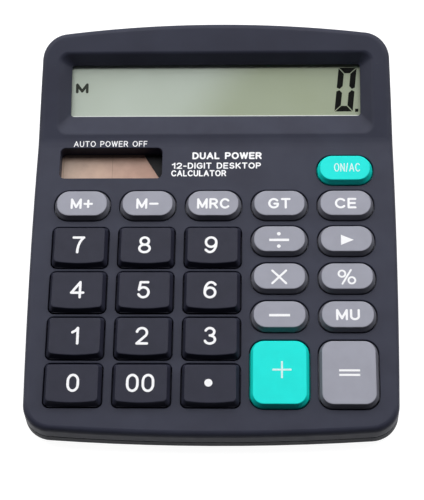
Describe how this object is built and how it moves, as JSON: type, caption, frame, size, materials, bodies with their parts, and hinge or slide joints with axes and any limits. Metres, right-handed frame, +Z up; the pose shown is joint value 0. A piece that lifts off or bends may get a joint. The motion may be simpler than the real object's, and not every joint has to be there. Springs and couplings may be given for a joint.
{
  "type": "desk calculator",
  "caption": "Wedge-shaped desk calculator with a tilted display behind a sloping key deck, sprung keys and a hinged battery cover underneath.",
  "frame": {"origin": "middle of the footprint, on the plane that the feet stand on", "axes": "+Z up, +Y to the rear where the display is, +X to the right of the user"},
  "size_m": [0.1188, 0.141, 0.0375],
  "materials": {
    "case_plastic": "fine matt moulded texture, charcoal blue-grey",
    "base_plastic": "fine matt moulded texture, near black",
    "dark_key_plastic": "satin, charcoal",
    "grey_key_plastic": "satin, mid grey",
    "green_key_plastic": "satin, turquoise green",
    "foot_rubber": "matt black rubber",
    "clear_lens": "clear acrylic",
    "polariser_film": "satin grey-green film",
    "lcd_glass": "clear glass with the liquid crystal between",
    "reflector_film": "silvery grey-green film",
    "black_plastic": "matt black",
    "ribbon_film": "amber film with printed tracks",
    "mat_rubber": "translucent grey silicone rubber",
    "board_laminate": "green lacquered laminate",
    "black_resin": "glossy black resin",
    "can_sleeve": "dark blue sleeve",
    "steel_can": "plain steel",
    "solar_glass": "brown amorphous cell behind glass",
    "screw_steel": "zinc-plated steel",
    "battery_sleeve": "plain printed sleeve, no lettering",
    "contact_steel": "nickel-plated steel",
    "red_wire": "red insulation",
    "black_wire": "black insulation"
  },
  "bodies": {
    "case": {"battery": "battery_sleeve", "black_lead": "black_wire", "board_screws": "screw_steel", "capacitors": "can_sleeve", "case_screws": "screw_steel", "chip_blob": "black_resin", "crystal": "steel_can", "display_lens": "clear_lens", "key_mat": "mat_rubber", "lcd_front_film": "polariser_film", "lcd_glass": "lcd_glass", "lcd_holder": "black_plastic", "lcd_reflector": "reflector_film", "lcd_ribbon": "ribbon_film", "leaf_spring": "contact_steel", "lower_case": "base_plastic", "main_board": "board_laminate", "minus_contact": "contact_steel", "plus_contact": "contact_steel", "red_lead": "red_wire", "rubber_feet": "foot_rubber", "solar_cell": "solar_glass", "upper_case": "case_plastic"},
    "door": {"battery_door": "base_plastic"},
    "cap_seven": {"key_seven": "dark_key_plastic"},
    "cap_eight": {"key_eight": "dark_key_plastic"},
    "cap_nine": {"key_nine": "dark_key_plastic"},
    "cap_four": {"key_four": "dark_key_plastic"},
    "cap_five": {"key_five": "dark_key_plastic"},
    "cap_six": {"key_six": "dark_key_plastic"},
    "cap_one": {"key_one": "dark_key_plastic"},
    "cap_two": {"key_two": "dark_key_plastic"},
    "cap_three": {"key_three": "dark_key_plastic"},
    "cap_zero": {"key_zero": "dark_key_plastic"},
    "cap_double_zero": {"key_double_zero": "dark_key_plastic"},
    "cap_point": {"key_point": "dark_key_plastic"},
    "cap_m_plus": {"key_m_plus": "grey_key_plastic"},
    "cap_m_minus": {"key_m_minus": "grey_key_plastic"},
    "cap_mrc": {"key_mrc": "grey_key_plastic"},
    "cap_gt": {"key_gt": "grey_key_plastic"},
    "cap_ce": {"key_ce": "grey_key_plastic"},
    "cap_divide": {"key_divide": "grey_key_plastic"},
    "cap_correct": {"key_correct": "grey_key_plastic"},
    "cap_times": {"key_times": "grey_key_plastic"},
    "cap_percent": {"key_percent": "grey_key_plastic"},
    "cap_minus": {"key_minus": "grey_key_plastic"},
    "cap_mu": {"key_mu": "grey_key_plastic"},
    "cap_equals": {"key_equals": "grey_key_plastic"},
    "cap_on_ac": {"key_on_ac": "green_key_plastic"},
    "cap_plus": {"key_plus": "green_key_plastic"}
  },
  "joints": [
    {"name": "press_seven", "type": "slide", "parent": "case", "child": "cap_seven", "axis": [0, 0.1392, -0.9903], "range_m": [0, 0.001], "stiffness_N_per_m": 500, "springref_m": -0.0004},
    {"name": "press_eight", "type": "slide", "parent": "case", "child": "cap_eight", "axis": [0, 0.1392, -0.9903], "range_m": [0, 0.001], "stiffness_N_per_m": 500, "springref_m": -0.0004},
    {"name": "press_nine", "type": "slide", "parent": "case", "child": "cap_nine", "axis": [0, 0.1392, -0.9903], "range_m": [0, 0.001], "stiffness_N_per_m": 500, "springref_m": -0.0004},
    {"name": "press_four", "type": "slide", "parent": "case", "child": "cap_four", "axis": [0, 0.1392, -0.9903], "range_m": [0, 0.001], "stiffness_N_per_m": 500, "springref_m": -0.0004},
    {"name": "press_five", "type": "slide", "parent": "case", "child": "cap_five", "axis": [0, 0.1392, -0.9903], "range_m": [0, 0.001], "stiffness_N_per_m": 500, "springref_m": -0.0004},
    {"name": "press_six", "type": "slide", "parent": "case", "child": "cap_six", "axis": [0, 0.1392, -0.9903], "range_m": [0, 0.001], "stiffness_N_per_m": 500, "springref_m": -0.0004},
    {"name": "press_one", "type": "slide", "parent": "case", "child": "cap_one", "axis": [0, 0.1392, -0.9903], "range_m": [0, 0.001], "stiffness_N_per_m": 500, "springref_m": -0.0004},
    {"name": "press_two", "type": "slide", "parent": "case", "child": "cap_two", "axis": [0, 0.1392, -0.9903], "range_m": [0, 0.001], "stiffness_N_per_m": 500, "springref_m": -0.0004},
    {"name": "press_three", "type": "slide", "parent": "case", "child": "cap_three", "axis": [0, 0.1392, -0.9903], "range_m": [0, 0.001], "stiffness_N_per_m": 500, "springref_m": -0.0004},
    {"name": "press_zero", "type": "slide", "parent": "case", "child": "cap_zero", "axis": [0, 0.1392, -0.9903], "range_m": [0, 0.001], "stiffness_N_per_m": 500, "springref_m": -0.0004},
    {"name": "press_double_zero", "type": "slide", "parent": "case", "child": "cap_double_zero", "axis": [0, 0.1392, -0.9903], "range_m": [0, 0.001], "stiffness_N_per_m": 500, "springref_m": -0.0004},
    {"name": "press_point", "type": "slide", "parent": "case", "child": "cap_point", "axis": [0, 0.1392, -0.9903], "range_m": [0, 0.001], "stiffness_N_per_m": 500, "springref_m": -0.0004},
    {"name": "press_m_plus", "type": "slide", "parent": "case", "child": "cap_m_plus", "axis": [0, 0.1392, -0.9903], "range_m": [0, 0.001], "stiffness_N_per_m": 500, "springref_m": -0.0004},
    {"name": "press_m_minus", "type": "slide", "parent": "case", "child": "cap_m_minus", "axis": [0, 0.1392, -0.9903], "range_m": [0, 0.001], "stiffness_N_per_m": 500, "springref_m": -0.0004},
    {"name": "press_mrc", "type": "slide", "parent": "case", "child": "cap_mrc", "axis": [0, 0.1392, -0.9903], "range_m": [0, 0.001], "stiffness_N_per_m": 500, "springref_m": -0.0004},
    {"name": "press_gt", "type": "slide", "parent": "case", "child": "cap_gt", "axis": [0, 0.1392, -0.9903], "range_m": [0, 0.001], "stiffness_N_per_m": 500, "springref_m": -0.0004},
    {"name": "press_ce", "type": "slide", "parent": "case", "child": "cap_ce", "axis": [0, 0.1392, -0.9903], "range_m": [0, 0.001], "stiffness_N_per_m": 500, "springref_m": -0.0004},
    {"name": "press_divide", "type": "slide", "parent": "case", "child": "cap_divide", "axis": [0, 0.1392, -0.9903], "range_m": [0, 0.001], "stiffness_N_per_m": 500, "springref_m": -0.0004},
    {"name": "press_correct", "type": "slide", "parent": "case", "child": "cap_correct", "axis": [0, 0.1392, -0.9903], "range_m": [0, 0.001], "stiffness_N_per_m": 500, "springref_m": -0.0004},
    {"name": "press_times", "type": "slide", "parent": "case", "child": "cap_times", "axis": [0, 0.1392, -0.9903], "range_m": [0, 0.001], "stiffness_N_per_m": 500, "springref_m": -0.0004},
    {"name": "press_percent", "type": "slide", "parent": "case", "child": "cap_percent", "axis": [0, 0.1392, -0.9903], "range_m": [0, 0.001], "stiffness_N_per_m": 500, "springref_m": -0.0004},
    {"name": "press_minus", "type": "slide", "parent": "case", "child": "cap_minus", "axis": [0, 0.1392, -0.9903], "range_m": [0, 0.001], "stiffness_N_per_m": 500, "springref_m": -0.0004},
    {"name": "press_mu", "type": "slide", "parent": "case", "child": "cap_mu", "axis": [0, 0.1392, -0.9903], "range_m": [0, 0.001], "stiffness_N_per_m": 500, "springref_m": -0.0004},
    {"name": "press_equals", "type": "slide", "parent": "case", "child": "cap_equals", "axis": [0, 0.1392, -0.9903], "range_m": [0, 0.001], "stiffness_N_per_m": 500, "springref_m": -0.0004},
    {"name": "press_on_ac", "type": "slide", "parent": "case", "child": "cap_on_ac", "axis": [0, 0.1392, -0.9903], "range_m": [0, 0.001], "stiffness_N_per_m": 500, "springref_m": -0.0004},
    {"name": "press_plus", "type": "slide", "parent": "case", "child": "cap_plus", "axis": [0, 0.1392, -0.9903], "range_m": [0, 0.001], "stiffness_N_per_m": 500, "springref_m": -0.0004},
    {"name": "door_swing", "type": "hinge", "parent": "case", "child": "door", "pos_m": [0, 0.061, 0.002], "axis": [1, 0, 0], "range_deg": [0, 90]}
  ]
}
